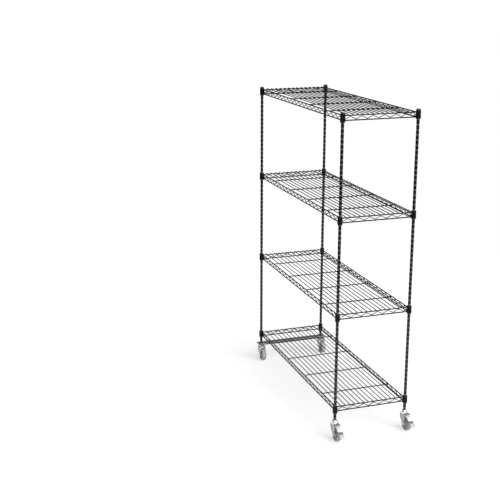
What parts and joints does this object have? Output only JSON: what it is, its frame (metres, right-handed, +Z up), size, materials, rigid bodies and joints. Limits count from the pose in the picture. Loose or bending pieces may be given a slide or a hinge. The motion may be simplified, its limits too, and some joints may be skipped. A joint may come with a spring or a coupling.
{
  "type": "mobile wire shelving rack",
  "caption": "Tall rack of black wire shelves with zigzag truss edges, held on grooved posts by tapered sleeves, rolling on swivel casters with front brake pedals and a rear cross channel.",
  "frame": {"origin": "floor level, middle of the bounding box", "axes": "+X along the short side, -Y to the front with the brake pedals, +Z up"},
  "size_m": [0.4522, 1.307, 1.7185],
  "materials": {
    "post": "satin black epoxy coat",
    "wire": "satin black epoxy coat",
    "fitting": "matte black moulding",
    "channel": "zinc plated sheet",
    "zinc": "bright zinc plate",
    "tyre": "grey non-marking rubber",
    "wheel_core": "grey moulded core",
    "pedal": "light coat over pressed steel"
  },
  "bodies": {
    "root": {"post_front_left": "post", "post_cap_front_left": "fitting", "post_front_right": "post", "post_cap_front_right": "fitting", "post_rear_left": "post", "post_cap_rear_left": "fitting", "post_rear_right": "post", "post_cap_rear_right": "fitting", "rear_channel": "channel", "shelf_1": "wire", "sleeve_1_front_left": "fitting", "sleeve_1_front_right": "fitting", "sleeve_1_rear_left": "fitting", "sleeve_1_rear_right": "fitting", "shelf_4": "wire", "sleeve_4_front_left": "fitting", "sleeve_4_front_right": "fitting", "sleeve_4_rear_left": "fitting", "sleeve_4_rear_right": "fitting", "front_left_caster_stem": "zinc", "front_right_caster_stem": "zinc", "rear_left_caster_stem": "zinc", "rear_right_caster_stem": "zinc"},
    "shelf_2_body": {"shelf_2": "wire", "sleeve_2_front_left": "fitting", "sleeve_2_front_right": "fitting", "sleeve_2_rear_left": "fitting", "sleeve_2_rear_right": "fitting"},
    "shelf_3_body": {"shelf_3": "wire", "sleeve_3_front_left": "fitting", "sleeve_3_front_right": "fitting", "sleeve_3_rear_left": "fitting", "sleeve_3_rear_right": "fitting"},
    "front_left_swivel_body": {"front_left_fork": "zinc", "front_left_axle_bolt": "zinc", "front_left_axle_nut": "zinc", "front_left_pedal_pin": "zinc"},
    "front_left_wheel_body": {"front_left_wheel_hub": "wheel_core", "front_left_tyre": "tyre"},
    "front_left_pedal_body": {"front_left_brake_pedal": "pedal"},
    "front_right_swivel_body": {"front_right_fork": "zinc", "front_right_axle_bolt": "zinc", "front_right_axle_nut": "zinc", "front_right_pedal_pin": "zinc"},
    "front_right_wheel_body": {"front_right_wheel_hub": "wheel_core", "front_right_tyre": "tyre"},
    "front_right_pedal_body": {"front_right_brake_pedal": "pedal"},
    "rear_left_swivel_body": {"rear_left_fork": "zinc", "rear_left_axle_bolt": "zinc", "rear_left_axle_nut": "zinc"},
    "rear_left_wheel_body": {"rear_left_wheel_hub": "wheel_core", "rear_left_tyre": "tyre"},
    "rear_right_swivel_body": {"rear_right_fork": "zinc", "rear_right_axle_bolt": "zinc", "rear_right_axle_nut": "zinc"},
    "rear_right_wheel_body": {"rear_right_wheel_hub": "wheel_core", "rear_right_tyre": "tyre"}
  },
  "joints": [
    {"name": "front_left_swivel", "type": "hinge", "parent": "root", "child": "front_left_swivel_body", "pos_m": [-0.203, -0.5415, 0.0935], "axis": [0, 0, 1], "continuous": true},
    {"name": "front_left_wheel_spin", "type": "hinge", "parent": "front_left_swivel_body", "child": "front_left_wheel_body", "pos_m": [-0.203, -0.5715, 0.038], "axis": [1, 0, 0], "continuous": true},
    {"name": "front_left_brake", "type": "hinge", "parent": "front_left_swivel_body", "child": "front_left_pedal_body", "pos_m": [-0.203, -0.5595, 0.084], "axis": [1, 0, 0], "range_deg": [0, 10]},
    {"name": "front_right_swivel", "type": "hinge", "parent": "root", "child": "front_right_swivel_body", "pos_m": [0.203, -0.5415, 0.0935], "axis": [0, 0, 1], "continuous": true},
    {"name": "front_right_wheel_spin", "type": "hinge", "parent": "front_right_swivel_body", "child": "front_right_wheel_body", "pos_m": [0.203, -0.5715, 0.038], "axis": [1, 0, 0], "continuous": true},
    {"name": "front_right_brake", "type": "hinge", "parent": "front_right_swivel_body", "child": "front_right_pedal_body", "pos_m": [0.203, -0.5595, 0.084], "axis": [1, 0, 0], "range_deg": [0, 10]},
    {"name": "rear_left_swivel", "type": "hinge", "parent": "root", "child": "rear_left_swivel_body", "pos_m": [-0.203, 0.6345, 0.0935], "axis": [0, 0, 1], "continuous": true},
    {"name": "rear_left_wheel_spin", "type": "hinge", "parent": "rear_left_swivel_body", "child": "rear_left_wheel_body", "pos_m": [-0.203, 0.6045, 0.038], "axis": [1, 0, 0], "continuous": true},
    {"name": "rear_right_swivel", "type": "hinge", "parent": "root", "child": "rear_right_swivel_body", "pos_m": [0.203, 0.6345, 0.0935], "axis": [0, 0, 1], "continuous": true},
    {"name": "rear_right_wheel_spin", "type": "hinge", "parent": "rear_right_swivel_body", "child": "rear_right_wheel_body", "pos_m": [0.203, 0.6045, 0.038], "axis": [1, 0, 0], "continuous": true},
    {"name": "shelf_2_height", "type": "slide", "parent": "root", "child": "shelf_2_body", "axis": [0, 0, 1], "range_m": [-0.2032, 0.2032]},
    {"name": "shelf_3_height", "type": "slide", "parent": "root", "child": "shelf_3_body", "axis": [0, 0, 1], "range_m": [-0.2032, 0.2032]}
  ]
}
